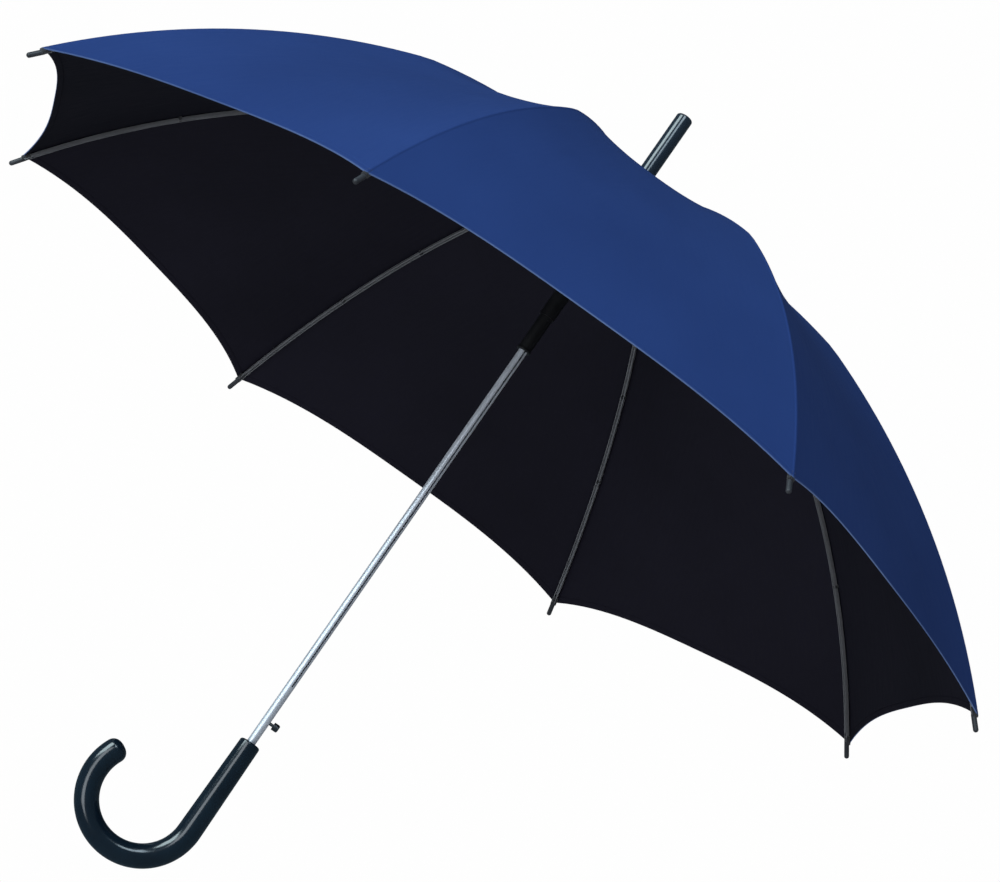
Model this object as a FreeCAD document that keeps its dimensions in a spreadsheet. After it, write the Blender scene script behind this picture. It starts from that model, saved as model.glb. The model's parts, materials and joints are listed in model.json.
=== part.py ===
import FreeCAD, Part
import math
import os

from FreeCAD import Placement, Rotation, Vector

# Automatic stick umbrella with a crook handle, drawn open.
# Millimetres, +Z up along the shaft, origin at the middle of the straight grip.
# The eight ribs are numbered anticlockwise from above; the crook opens toward +X.

DIMENSIONS = {
    "shaft_radius": 4.0,        # steel shaft tube
    "shaft_bore": 3.4,
    "shaft_foot": 18.0,         # lower end, inside the handle
    "shaft_top": 690.0,         # upper end, inside the ferrule
    "seat_gap": 0.03,           # clearance of every part fixed on the shaft
    "slide_gap": 0.06,          # clearance of every part that slides on the shaft
    "track_width": 1.6,         # slot for the drive pin
    "track_turn": 24.0,         # of the slot, from +Y toward -X
    "track_foot": 104.0,
    "track_top": 504.0,
    "handle_top": 45.3,
    "straight_grip": 91.0,
    "grip_top_radius": 9.5,
    "grip_radius": 10.7,
    "crook_radius": 47.5,
    "crook_sweep": 205.0,
    "ferrule_foot": 635.8,
    "ferrule_end": 725.0,
    "ferrule_radius": 7.8,
    "edge_round": 2.0,
    "rosette_radius": 15.0,
    "rosette_thickness": 1.0,
    "notch_radius": 9.5,
    "pivot_ring": 7.0,          # radius of the ring of pivots in crown and runner
    "slot_root": 5.2,
    "slot_width": 1.8,
    "wire_radius": 0.5,
    "wire_gap": 0.05,
    "crown_foot": 625.0,
    "crown_top": 631.6,
    "crown_pivot": 630.0,
    "runner_foot": 463.0,
    "runner_step": 500.0,
    "runner_ring": 563.0,
    "runner_top": 572.5,
    "runner_grip_radius": 6.3,
    "runner_neck_radius": 7.4,
    "pin_height": 497.0,
    "pin_radius": 0.7,
    "link_length": 225.5,       # crown pivot to rib pivot, and rib pivot to runner pivot
    "open_angle": 82.22,        # of the links, from the vertical
    "tip_radius": 515.0,
    "tip_height": 374.0,
    "inner_half_arc": 11.4,
    "outer_half_arc": 13.5,
    "rib_width": 3.4,
    "rib_height": 3.2,
    "rib_wall": 0.5,
    "tab_width": 1.2,
    "tab_hole": 0.6,
    "rivet_radius": 0.8,
    "rivet_hole": 0.85,
    "rivet_length": 6.4,
    "rivet_head": 1.4,
    "head_height": 0.4,
    "tongue_width": 1.8,
    "stretcher_width": 5.0,
    "stretcher_height": 3.0,
    "cap_radius": 2.3,
    "cap_length": 13.0,
    "plug_length": 8.0,
    "cloth_thickness": 0.4,
    "knob_radius": 3.5,
    "knob_start": 7.3,          # from the shaft's axis, which leaves room for the press
    "knob_length": 4.7,
    "stem_radius": 1.4,
    "button_height": 68.0,
    "spring_wire": 0.3,
    "spring_radius": 2.7,
    "spring_pitch": 12.0,
}
RIBS = 8
RIB_STEP = 360.0 / RIBS
FIRST_RIB = RIB_STEP / 2.0

doc = FreeCAD.newDocument("stick_umbrella")
sheet = doc.addObject("Spreadsheet::Sheet", "dims")
for row, (alias, value) in enumerate(DIMENSIONS.items(), start=1):
    sheet.set("A%d" % row, alias)
    sheet.set("B%d" % row, str(value))
    sheet.setAlias("B%d" % row, alias)
doc.recompute()


class Sizes:
    """The spreadsheet's values, for the places where a feature is positioned."""

    def __init__(self):
        for name in DIMENSIONS:
            setattr(self, name, float(sheet.get(name)))


D = Sizes()

UP = Rotation()
ALONG_X = Rotation(Vector(0, 1, 0), 90)
ALONG_MINUS_X = Rotation(Vector(0, 1, 0), -90)
TRACK_SIDE = Rotation(Vector(0, 0, 1), D.track_turn)
THROUGH_TRACK = TRACK_SIDE.multiply(Rotation(Vector(1, 0, 0), -90))

parts = []


def feature(kind, name, sizes, at=(0, 0, 0), turn=UP):
    """A Part primitive whose sizes are expressions of the spreadsheet."""
    item = doc.addObject(kind, name)
    for size_name, text in sizes.items():
        item.setExpression(size_name, text)
    item.Placement = Placement(Vector(*at), turn)
    return item


def cylinder(name, radius, height, at=(0, 0, 0), turn=UP):
    return feature("Part::Cylinder", name, {"Radius": radius, "Height": height}, at, turn)


def box(name, length, width, height, at=(0, 0, 0), turn=UP):
    """A box that starts at x = 0 and is centred on y and z of its own frame."""
    item = feature("Part::Box", name, {"Length": length, "Width": width, "Height": height})
    doc.recompute()
    corner = Vector(0, -item.Width.Value / 2.0, -item.Height.Value / 2.0)
    item.Placement = Placement(Vector(*at) + turn.multVec(corner), turn)
    return item


def fuse(name, shapes, place=Placement()):
    item = doc.addObject("Part::MultiFuse", name)
    item.Shapes = shapes
    item.Refine = True
    item.Placement = place
    return item


def cut(name, base, tools, place=Placement()):
    tool = tools[0] if len(tools) == 1 else fuse(name + "_cutters", tools)
    item = doc.addObject("Part::Cut", name)
    item.Base = base
    item.Tool = tool
    item.Placement = place
    return item


def keep(item, label):
    """Marks an object as a finished piece; its label is the node name."""
    item.Label = label
    parts.append(item)
    return item


def rounded_rim(name, radius, top):
    """The plug and the ring that round off the top edge of a post."""
    plug = cylinder(name + "_plug", radius + " - dims.edge_round", "dims.edge_round * 2",
                    (0, 0, top - 2 * D.edge_round))
    rim = feature("Part::Torus", name + "_rim",
                  {"Radius1": radius + " - dims.edge_round", "Radius2": "dims.edge_round"},
                  (0, 0, top - D.edge_round))
    return [plug, rim]


# ---------------------------------------------------------------- shaft, handle and ferrule

tube = cylinder("tube_outside", "dims.shaft_radius", "dims.shaft_top - dims.shaft_foot",
                (0, 0, D.shaft_foot))
tube_bore = cylinder("tube_bore", "dims.shaft_bore", "dims.shaft_top - dims.shaft_foot + 2",
                     (0, 0, D.shaft_foot - 1))
track = feature("Part::Box", "tube_track",
                {"Length": "dims.track_width", "Width": "dims.shaft_radius",
                 "Height": "dims.track_top - dims.track_foot"},
                tuple(TRACK_SIDE.multVec(Vector(-D.track_width / 2.0, D.shaft_radius / 2.0,
                                                D.track_foot))), TRACK_SIDE)
button_hole = cylinder("tube_button_hole", "dims.stem_radius + 0.08", "dims.shaft_radius + 1",
                       (0, 0, D.button_height), ALONG_MINUS_X)
keep(cut("tube", tube, [tube_bore, track, button_hole]), "shaft_tube")

grip = feature("Part::Cone", "grip_taper",
               {"Radius1": "dims.grip_radius", "Radius2": "dims.grip_top_radius",
                "Height": "dims.straight_grip - dims.edge_round"},
               (0, 0, D.handle_top - D.straight_grip))
grip_top = rounded_rim("grip", "dims.grip_top_radius", D.handle_top)
bend_height = D.handle_top - D.straight_grip
crook_bend = feature("Part::Torus", "crook_bend",
                     {"Radius1": "dims.crook_radius", "Radius2": "dims.grip_radius",
                      "Angle3": "dims.crook_sweep"},
                     (D.crook_radius, 0, bend_height),
                     Rotation(Vector(-1, 0, 0), Vector(0, 0, -1), Vector(0, -1, 0), "XYZ"))
swept = math.radians(D.crook_sweep)
crook_end = feature("Part::Sphere", "crook_end", {"Radius": "dims.grip_radius"},
                    (D.crook_radius * (1 - math.cos(swept)), 0,
                     bend_height - D.crook_radius * math.sin(swept)))
handle = fuse("handle_solid", [grip, crook_bend, crook_end] + grip_top)
socket = cylinder("handle_socket", "dims.shaft_radius + dims.seat_gap",
                  "dims.handle_top - dims.shaft_foot + 5", (0, 0, D.shaft_foot - 0.1))
keep(cut("handle", handle, [socket]), "crook_handle")

post = cylinder("ferrule_post", "dims.ferrule_radius",
                "dims.ferrule_end - dims.ferrule_foot - dims.edge_round", (0, 0, D.ferrule_foot))
ferrule = fuse("ferrule_solid",
               [post] + rounded_rim("ferrule", "dims.ferrule_radius", D.ferrule_end))
ferrule_socket = cylinder("ferrule_socket", "dims.shaft_radius + dims.seat_gap",
                          "dims.shaft_top - dims.ferrule_foot + 1.1",
                          (0, 0, D.ferrule_foot - 1))
keep(cut("ferrule", ferrule, [ferrule_socket]), "ferrule_spike")

rosette = cylinder("rosette_disc", "dims.rosette_radius", "dims.rosette_thickness",
                   (0, 0, D.ferrule_foot - 0.05 - D.rosette_thickness))
rosette_hole = cylinder("rosette_hole", "dims.shaft_radius + dims.seat_gap",
                        "dims.rosette_thickness + 2", (0, 0, D.ferrule_foot - 3))
keep(cut("rosette", rosette, [rosette_hole]), "canopy_rosette")


# ---------------------------------------------------------------- crown, runner and their wires

def notched_ring(name, solids, bore_gap, ring_foot, ring_top, pivot_height):
    """A hub on the shaft with one radial slot for each rib and a groove for its tie wire."""
    height = "%s - %s + 2" % (ring_top, ring_foot)
    foot = DIMENSIONS[ring_foot.split(".")[1]]
    cutters = []
    bore_length = "dims.shaft_top - dims.runner_foot"
    cutters.append(cylinder(name + "_bore", "dims.shaft_radius + %s" % bore_gap, bore_length,
                            (0, 0, D.runner_foot - 1)))
    for index in range(RIBS):
        turn = Rotation(Vector(0, 0, 1), FIRST_RIB + index * RIB_STEP)
        slot = box("%s_slot_%d" % (name, index + 1), "dims.notch_radius", "dims.slot_width",
                   height, (0, 0, 0), turn)
        middle = foot + slot.Height.Value / 2.0
        slot.Placement.Base = slot.Placement.Base + turn.multVec(Vector(D.slot_root, 0, middle))
        cutters.append(slot)
    cutters.append(feature("Part::Torus", name + "_groove",
                           {"Radius1": "dims.pivot_ring",
                            "Radius2": "dims.wire_radius + dims.wire_gap"},
                           (0, 0, pivot_height)))
    return cut(name, fuse(name + "_blank", solids), cutters)


def tie_wire(name, height):
    return feature("Part::Torus", name,
                   {"Radius1": "dims.pivot_ring", "Radius2": "dims.wire_radius"}, (0, 0, height))


crown = cylinder("crown_disc", "dims.notch_radius", "dims.crown_top - dims.crown_foot",
                 (0, 0, D.crown_foot))
collar = cylinder("crown_collar", "dims.runner_grip_radius", "14", (0, 0, D.crown_foot - 12))
keep(notched_ring("crown", [crown, collar], "dims.seat_gap", "dims.crown_foot", "dims.crown_top",
                  D.crown_pivot), "crown_notch")
keep(tie_wire("crown_wire", D.crown_pivot), "crown_tie_wire")

runner_pivot = D.crown_pivot - 2.0 * D.link_length * math.cos(math.radians(D.open_angle))
grip_sleeve = cylinder("runner_grip", "dims.runner_grip_radius",
                       "dims.runner_step - dims.runner_foot + 1", (0, 0, D.runner_foot))
neck = cylinder("runner_neck", "dims.runner_neck_radius",
                "dims.runner_ring - dims.runner_step + 1", (0, 0, D.runner_step))
ring = cylinder("runner_disc", "dims.notch_radius", "dims.runner_top - dims.runner_ring",
                (0, 0, D.runner_ring))
bead = feature("Part::Torus", "runner_bead",
               {"Radius1": "dims.runner_grip_radius - 0.3", "Radius2": "1.2"},
               (0, 0, D.runner_foot + 1.2))
blank = notched_ring("runner", [grip_sleeve, neck, ring, bead], "dims.slide_gap",
                     "dims.runner_ring", "dims.runner_top", runner_pivot)
pin_hole = cylinder("runner_pin_hole", "dims.pin_radius + dims.seat_gap", "12",
                    (0, 0, D.pin_height), THROUGH_TRACK)
keep(cut("runner_drilled", blank, [pin_hole]), "runner_sleeve")
keep(tie_wire("runner_wire", runner_pivot), "runner_tie_wire")
keep(cylinder("pin", "dims.pin_radius", "dims.runner_grip_radius - 1.2",
              tuple(TRACK_SIDE.multVec(Vector(0, 1.0, D.pin_height))), THROUGH_TRACK),
     "drive_pin")

# ---------------------------------------------------------------- springs and release button

spring_foot = D.track_foot - 2.0
spring_top = D.pin_height - D.pin_radius - D.spring_wire - 0.2
helix = feature("Part::Helix", "spring_path",
                {"Pitch": "dims.spring_pitch", "Radius": "dims.spring_radius",
                 "Height": "dims.pin_height - dims.pin_radius - dims.spring_wire - 0.2"
                           " - dims.track_foot + 2"})
wire_section = feature("Part::Circle", "spring_section", {"Radius": "dims.spring_wire"},
                       (D.spring_radius, 0, 0), Rotation(Vector(1, 0, 0), 90))
coil = doc.addObject("Part::Sweep", "spring")
coil.Sections = [wire_section]
coil.Spine = (helix, [])
coil.Solid = True
coil.Frenet = True
coil.Placement = Placement(Vector(0, 0, spring_foot), UP)
keep(coil, "opening_spring")

# The leaf stands against the button's shoe and its foot reaches across to the tube wall.
leaf = box("latch_leaf", "26", "1.6", "0.3", (-1.5, 0, D.button_height + 13.0), ALONG_X)
leaf_foot = box("latch_foot", "4.6", "1.6", "0.3", (-1.5, 0, D.button_height - 12.85))
keep(fuse("latch", [leaf, leaf_foot]), "latch_spring")

stem = cylinder("button_stem", "dims.stem_radius", "6.2", (-1.9, 0, D.button_height), ALONG_MINUS_X)
knob = cylinder("button_knob", "dims.knob_radius", "dims.knob_length",
                (-D.knob_start, 0, D.button_height), ALONG_MINUS_X)
knob_face = feature("Part::Cone", "button_face",
                    {"Radius1": "dims.knob_radius", "Radius2": "dims.knob_radius - 0.8",
                     "Height": "0.8"},
                    (-D.knob_start - D.knob_length, 0, D.button_height), ALONG_MINUS_X)
shoe = cylinder("button_shoe", "dims.stem_radius + 0.5", "0.8", (-1.7, 0, D.button_height),
                ALONG_MINUS_X)
keep(fuse("button", [stem, knob, knob_face, shoe]), "release_button")


# ---------------------------------------------------------------- ribs and stretchers
# A rib is drawn flat, in its own sheet: x is the distance from the shaft and y the height.
# The arcs of the rib are placed by their chords.

class Arc:
    """An arc that bulges away from the shaft, from one point of the rib sheet to another."""

    def __init__(self, start, end, half_angle):
        chord = end - start
        self.half = math.radians(half_angle)
        self.radius = chord.Length / 2.0 / math.sin(self.half)
        outward = Vector(-chord.y, chord.x, 0).normalize()
        self.centre = (start + end) * 0.5 - outward * self.radius * math.cos(self.half)
        self.start_angle = math.atan2(start.y - self.centre.y, start.x - self.centre.x)

    def point(self, travel, offset=0.0):
        angle = self.start_angle - travel / self.radius
        reach = self.radius + offset
        return self.centre + Vector(math.cos(angle), math.sin(angle), 0) * reach

    def slope(self, travel):
        """Direction along the arc, in degrees from the x axis of the rib sheet."""
        return math.degrees(self.start_angle - travel / self.radius) - 90.0

    def length(self):
        return 2.0 * self.half * self.radius


crown_point = Vector(D.pivot_ring, D.crown_pivot, 0)
lean = math.radians(D.open_angle)
rib_point = crown_point + Vector(math.sin(lean), -math.cos(lean), 0) * D.link_length
runner_point = Vector(D.pivot_ring, runner_pivot, 0)
tip_point = Vector(D.tip_radius, D.tip_height, 0)
inner_arc = Arc(crown_point, rib_point, D.inner_half_arc)
outer_arc = Arc(rib_point, tip_point, D.outer_half_arc)


def rib_frame(index):
    turn = Rotation(Vector(0, 0, 1), FIRST_RIB + index * RIB_STEP)
    return Placement(Vector(0, 0, 0), turn.multiply(Rotation(Vector(1, 0, 0), 90)))


def flat_turn(degrees):
    return Rotation(Vector(0, 0, 1), degrees)


def sector(name, arc, offset, width, first, last, margin=0.0):
    """A slice of a disc about the arc's centre, between two distances along the arc."""
    start = arc.start_angle - (last + margin) / arc.radius
    item = doc.addObject("Part::Cylinder", name)
    item.Radius = arc.radius + offset
    item.Angle = math.degrees((last - first + 2 * margin) / arc.radius)
    item.setExpression("Height", width)
    doc.recompute()
    item.Placement = Placement(arc.centre - Vector(0, 0, item.Height.Value / 2.0),
                               flat_turn(math.degrees(start)))
    return item


def channel(name, arc, first, last):
    """The curved rib section, a channel that is open toward the shaft."""
    half = D.rib_height / 2.0
    outside = sector(name + "_outside", arc, half, "dims.rib_width", first, last)
    hollow = sector(name + "_hollow", arc, half - D.rib_wall,
                    "dims.rib_width - 2 * dims.rib_wall", first, last, 1.0)
    core = sector(name + "_core", arc, -half, "dims.rib_width + 1", first, last, 1.0)
    return cut(name, outside, [hollow, core])


def pin_at(name, radius, length, point):
    item = cylinder(name, radius, length)
    doc.recompute()
    item.Placement = Placement(point - Vector(0, 0, item.Height.Value / 2.0), UP)
    return item


def bar(name, length, height, width, point, slope, shift=0.0):
    """A straight bar that starts at a point of the rib sheet; shift moves it off its line."""
    turn = flat_turn(slope)
    start = point + turn.multVec(Vector(0, shift, 0))
    return box(name, length, height, width, tuple(start), turn)


def rib_inner(name):
    """From its tab on the crown's wire to the two ears that hold the rivet."""
    slope = inner_arc.slope(0.0)
    end_slope = inner_arc.slope(inner_arc.length())
    back = flat_turn(end_slope).multVec(Vector(-4.5, 0, 0))
    pieces = [
        channel(name + "_channel", inner_arc, 12.0, inner_arc.length() - 3.0),
        bar(name + "_tab", "16", "2.9", "dims.tab_width", crown_point, slope, 0.15),
        pin_at(name + "_eye", "1.5", "dims.tab_width", crown_point),
        bar(name + "_ears", "4.5", "dims.rib_height", "dims.rib_width", rib_point + back,
            end_slope),
        pin_at(name + "_ear_ends", "dims.rib_height / 2", "dims.rib_width", rib_point),
    ]
    gap = bar(name + "_ear_gap", "8", "dims.rib_height + 1", "dims.rib_width - 2 * dims.rib_wall",
              rib_point + flat_turn(end_slope).multVec(Vector(-3.0, 0, 0)), end_slope)
    hollow = bar(name + "_ear_hollow", "4", "dims.rib_height",
                 "dims.rib_width - 2 * dims.rib_wall",
                 rib_point + flat_turn(end_slope).multVec(Vector(-6.0, 0, 0)), end_slope,
                 -D.rib_wall)
    hole = pin_at(name + "_tab_hole", "dims.tab_hole", "4", crown_point)
    body = cut(name + "_body", fuse(name + "_blank", pieces), [gap, hollow, hole])
    rivet = pin_at(name + "_rivet", "dims.rivet_radius", "dims.rivet_length", rib_point)
    heads = []
    for side in (1.0, -1.0):
        head = pin_at("%s_head_%s" % (name, "a" if side > 0 else "b"), "dims.rivet_head",
                      "dims.head_height",
                      rib_point + Vector(0, 0, side * (D.rivet_length - D.head_height) / 2.0))
        heads.append(head)
    return fuse(name, [body, rivet] + heads)


cap_travel = outer_arc.length() - D.cap_length - D.cap_radius


def rib_outer(name):
    """From its tongue on the rivet to the end that takes the cap."""
    slope = outer_arc.slope(0.0)
    pieces = [
        channel(name + "_channel", outer_arc, 2.4, cap_travel),
        bar(name + "_tongue", "8", "3.0", "dims.tongue_width", rib_point, slope, 0.1),
        pin_at(name + "_eye", "1.4", "dims.tongue_width", rib_point),
    ]
    hole = pin_at(name + "_hole", "dims.rivet_hole", "4", rib_point)
    return cut(name, fuse(name + "_blank", pieces), [hole])


def rib_tip(name):
    """The cap on the end of the rib, with a plug that fits inside the channel."""
    slope = outer_arc.slope(cap_travel)
    turn = flat_turn(slope)
    foot = outer_arc.point(cap_travel) + turn.multVec(Vector(0.05, 0, 0))
    end = foot + turn.multVec(Vector(D.cap_length, 0, 0))
    lengthwise = turn.multiply(ALONG_X)
    cap = cylinder(name + "_cap", "dims.cap_radius", "dims.cap_length", tuple(foot), lengthwise)
    nose = feature("Part::Sphere", name + "_nose", {"Radius": "dims.cap_radius"}, tuple(end))
    plug_start = foot + turn.multVec(Vector(-D.plug_length, 0, 0))
    plug = bar(name + "_plug", "dims.plug_length + 1", "2.5", "dims.rib_width - 2 * "
               "dims.rib_wall - 0.1", plug_start, slope, -0.25)
    return fuse(name, [cap, nose, plug])


def stretcher(name):
    """A channel with a fork at the rib, a thin tab at the runner, and its web on top."""
    run = runner_point - rib_point
    slope = math.degrees(math.atan2(run.y, run.x))
    turn = flat_turn(slope)
    blank = fuse(name + "_blank", [
        bar(name + "_bar", "dims.link_length - 24", "dims.stretcher_height", "dims.stretcher_width",
            rib_point, slope),
        pin_at(name + "_eyes", "dims.stretcher_height / 2", "dims.stretcher_width", rib_point),
    ])
    hollow = bar(name + "_hollow", "dims.link_length - 23", "dims.stretcher_height",
                 "dims.stretcher_width - 2 * dims.rib_wall",
                 rib_point + turn.multVec(Vector(-3, 0, 0)), slope, D.rib_wall)
    mouth = bar(name + "_mouth", "19", "dims.stretcher_height * 2",
                "dims.stretcher_width - 2 * dims.rib_wall",
                rib_point + turn.multVec(Vector(-3, 0, 0)), slope)
    hole = pin_at(name + "_hole", "dims.rivet_hole", "8", rib_point)
    shell = cut(name + "_shell", blank, [hollow, mouth, hole])
    tab_start = runner_point - turn.multVec(Vector(27, 0, 0))
    tab = fuse(name + "_tab_blank", [
        bar(name + "_tab", "27", "dims.stretcher_height", "dims.tab_width", tab_start, slope),
        pin_at(name + "_tab_eye", "dims.stretcher_height / 2", "dims.tab_width", runner_point),
    ])
    tab_hole = pin_at(name + "_tab_hole", "dims.tab_hole", "4", runner_point)
    return fuse(name, [shell, cut(name + "_tab_drilled", tab, [tab_hole])])


# ---------------------------------------------------------------- canopy
# Each gore is two closed wings of flat facets that meet on the middle line of the gore.
# The hoop pull of the cloth draws the middle line inward and lifts the hem between the ribs.

CLOTH_LIFT = 3.5                # middle of the cloth above the middle of the rib
LENGTHWISE = 10
ACROSS = 2
SCALLOP = 20.0                  # how far the hem curves back between two ribs
SAG = 7.0                       # how far the hoop pull draws the cloth in between the ribs


def rib_line(share):
    """The cloth over the rib, from the crown (0) to the corner of the hem (1).

    It gives the radius, the height and the slope in radians below the horizontal.
    """
    first = 3.0
    hem = outer_arc.length() - D.cap_length - 1.0
    travel = first + share * (inner_arc.length() + hem - first)
    arc = inner_arc
    if travel >= inner_arc.length():
        travel -= inner_arc.length()
        arc = outer_arc
    point = arc.point(travel, CLOTH_LIFT)
    return point.x, point.y, -math.radians(arc.slope(travel))


def cloth_point(share, across, side, azimuth):
    """Across runs from the rib (0) to the middle of the gore (1)."""
    radius, height, slope = rib_line(share)
    half_step = math.radians(RIB_STEP / 2.0)
    curve = across * (2.0 - across)
    scallop = SCALLOP * share ** 8 * curve
    sag = SAG * math.sin(math.pi * min(1.0, share * 1.15) ** 0.8) * curve
    outward = radius * math.cos(half_step) - scallop * math.cos(slope) - sag * math.sin(slope)
    level = height + scallop * math.sin(slope) - sag * math.cos(slope)
    gap = 0.15
    along = radius * math.sin(half_step) * (1.0 - across)
    along = min(along, radius * math.sin(half_step) - gap)
    along = max(along, gap)
    middle_azimuth = math.radians(azimuth) + side * half_step
    axis = Vector(math.cos(middle_azimuth), math.sin(middle_azimuth), 0)
    tangent = Vector(-axis.y, axis.x, 0)
    return axis * outward - tangent * along * side + Vector(0, 0, level)


def facet(points):
    return Part.Face(Part.makePolygon(points + [points[0]]))


def canopy_wing(name, side, azimuth):
    grid = []
    for row in range(LENGTHWISE + 1):
        share = row / LENGTHWISE
        grid.append([cloth_point(share, column / ACROSS, side, azimuth)
                     for column in range(ACROSS + 1)])
    normal = (grid[-1][0] - grid[0][0]).cross(grid[-1][-1] - grid[0][0]).normalize()
    if normal.z < 0:
        normal = normal * -1.0
    half = normal * (D.cloth_thickness / 2.0)
    top = [[point + half for point in line] for line in grid]
    bottom = [[point - half for point in line] for line in grid]
    faces = []
    for skin in (top, bottom):
        for row in range(LENGTHWISE):
            for column in range(ACROSS):
                a, b = skin[row][column], skin[row + 1][column]
                c, d = skin[row + 1][column + 1], skin[row][column + 1]
                faces.append(facet([a, b, c]))
                faces.append(facet([a, c, d]))
    border = [(row, 0) for row in range(LENGTHWISE)]
    border += [(LENGTHWISE, column) for column in range(ACROSS)]
    border += [(row, ACROSS) for row in range(LENGTHWISE, 0, -1)]
    border += [(0, column) for column in range(ACROSS, 0, -1)]
    for here, (row, column) in enumerate(border):
        next_row, next_column = border[(here + 1) % len(border)]
        a, b = top[row][column], top[next_row][next_column]
        c, d = bottom[next_row][next_column], bottom[row][column]
        faces.append(facet([a, b, c]))
        faces.append(facet([a, c, d]))
    solid = Part.Solid(Part.Shell(faces))
    if solid.Volume < 0:
        solid.reverse()
    item = doc.addObject("Part::Feature", name)
    item.Shape = solid
    item.Placement = Placement()
    return item


for index in range(RIBS):
    number = index + 1
    frame = rib_frame(index)
    for kind, builder in (("rib_inner", rib_inner), ("rib_outer", rib_outer),
                          ("rib_tip", rib_tip), ("stretcher", stretcher)):
        label = "%s_%d" % (kind, number)
        piece = builder(label + "_solid")
        piece.Placement = frame
        keep(piece, label)
    azimuth = FIRST_RIB + index * RIB_STEP
    for kind, side in (("wing_right", -1), ("wing_left", 1)):
        label = "%s_%d" % (kind, number)
        keep(canopy_wing(label + "_solid", side, azimuth), label)

# ---------------------------------------------------------------- check and write

doc.recompute()
for item in doc.Objects:
    bad = [state for state in item.State if "Invalid" in state or "Error" in state]
    if bad:
        raise RuntimeError("%s did not recompute: %s" % (item.Name, bad))
os.makedirs("parts", exist_ok=True)
for item in parts:
    shape = item.Shape
    if shape.isNull() or not shape.isValid() or len(shape.Solids) != 1 or shape.Volume <= 0:
        raise RuntimeError("%s is not one sound solid" % item.Label)
    shape.exportStep("parts/%s.step" % item.Label)
    box_now = shape.BoundBox
    print("%-18s volume %10.1f  x %7.1f %7.1f  y %7.1f %7.1f  z %7.1f %7.1f  faces %d" % (
        item.Label, shape.Volume, box_now.XMin, box_now.XMax, box_now.YMin, box_now.YMax,
        box_now.ZMin, box_now.ZMax, len(shape.Faces)))
print("%d pieces" % len(parts))
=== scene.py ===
import json
import math

import bmesh
import bpy
from mathutils import Matrix, Vector


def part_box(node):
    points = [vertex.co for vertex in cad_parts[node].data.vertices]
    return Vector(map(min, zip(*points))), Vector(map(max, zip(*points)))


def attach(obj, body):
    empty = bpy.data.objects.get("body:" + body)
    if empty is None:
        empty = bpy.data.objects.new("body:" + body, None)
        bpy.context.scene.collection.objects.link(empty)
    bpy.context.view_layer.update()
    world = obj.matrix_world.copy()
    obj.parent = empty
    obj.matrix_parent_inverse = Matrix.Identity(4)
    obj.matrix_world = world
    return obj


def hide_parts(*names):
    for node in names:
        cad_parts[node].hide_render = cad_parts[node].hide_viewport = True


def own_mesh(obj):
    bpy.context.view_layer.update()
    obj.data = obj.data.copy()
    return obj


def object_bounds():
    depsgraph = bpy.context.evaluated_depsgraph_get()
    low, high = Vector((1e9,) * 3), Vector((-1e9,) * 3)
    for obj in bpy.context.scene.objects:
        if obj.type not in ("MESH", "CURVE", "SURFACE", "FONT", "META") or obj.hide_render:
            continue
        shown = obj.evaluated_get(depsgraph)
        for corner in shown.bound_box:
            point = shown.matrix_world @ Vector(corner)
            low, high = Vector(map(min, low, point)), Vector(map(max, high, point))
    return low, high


# The looks of the open stick umbrella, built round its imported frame.
# Metres, +Z up along the shaft. Rib 1 stands at 22.5 degrees and the crook opens toward +X.

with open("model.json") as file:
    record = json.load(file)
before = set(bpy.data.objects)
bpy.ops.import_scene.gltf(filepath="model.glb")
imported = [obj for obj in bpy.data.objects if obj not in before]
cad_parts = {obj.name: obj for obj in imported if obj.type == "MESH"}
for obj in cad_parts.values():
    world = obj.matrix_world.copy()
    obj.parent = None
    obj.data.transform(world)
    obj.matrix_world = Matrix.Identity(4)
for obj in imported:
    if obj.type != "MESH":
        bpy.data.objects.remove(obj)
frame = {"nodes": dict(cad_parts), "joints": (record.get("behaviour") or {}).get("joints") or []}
cad_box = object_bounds()

MM = 0.001
RIBS = 8
RIB_STEP = math.radians(360.0 / RIBS)
HALF_STEP = RIB_STEP / 2.0
UP = Vector((0, 0, 1))


# ---------------------------------------------------------------- places read from the frame

def rib_azimuth(number):
    return HALF_STEP + (number - 1) * RIB_STEP


def outward(azimuth):
    return Vector((math.cos(azimuth), math.sin(azimuth), 0))


def pivot(joint_name):
    """A joint's place in the sheet of its rib, as distance from the shaft and height."""
    place = next(j["pos_m"] for j in frame["joints"] if j["name"] == joint_name)
    return Vector((math.hypot(place[0], place[1]), place[2]))


CROWN = pivot("canopy_fold")
ELBOW = pivot("rib_straighten_1")
TIP = Vector((515 * MM, 374 * MM))     # end of the rib's centreline, in the sheet of the rib
INNER_HALF_ARC = math.radians(11.4)
OUTER_HALF_ARC = math.radians(13.5)
CAP_LENGTH = 13 * MM


class Arc:
    """A stretch of the rib's centreline, which bulges away from the shaft."""

    def __init__(self, start, end, half):
        chord = end - start
        self.radius = chord.length / 2.0 / math.sin(half)
        bulge = Vector((-chord.y, chord.x)).normalized()
        self.centre = (start + end) / 2.0 - bulge * self.radius * math.cos(half)
        self.first = math.atan2(start.y - self.centre.y, start.x - self.centre.x)
        self.length = 2.0 * half * self.radius

    def point(self, travel, lift=0.0):
        angle = self.first - travel / self.radius
        return self.centre + Vector((math.cos(angle), math.sin(angle))) * (self.radius + lift)

    def dip(self, travel):
        """Slope of the arc, in radians below the horizontal."""
        return math.pi / 2.0 - self.first + travel / self.radius


INNER = Arc(CROWN, ELBOW, INNER_HALF_ARC)
OUTER = Arc(ELBOW, TIP, OUTER_HALF_ARC)


def rib_place(travel, lift):
    """Radius, height and dip of a point above the rib, by its distance along the rib."""
    arc = INNER
    if travel > INNER.length:
        travel -= INNER.length
        arc = OUTER
    place = arc.point(travel, lift)
    return place.x, place.y, arc.dip(travel)


# ---------------------------------------------------------------- canopy shape

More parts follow.
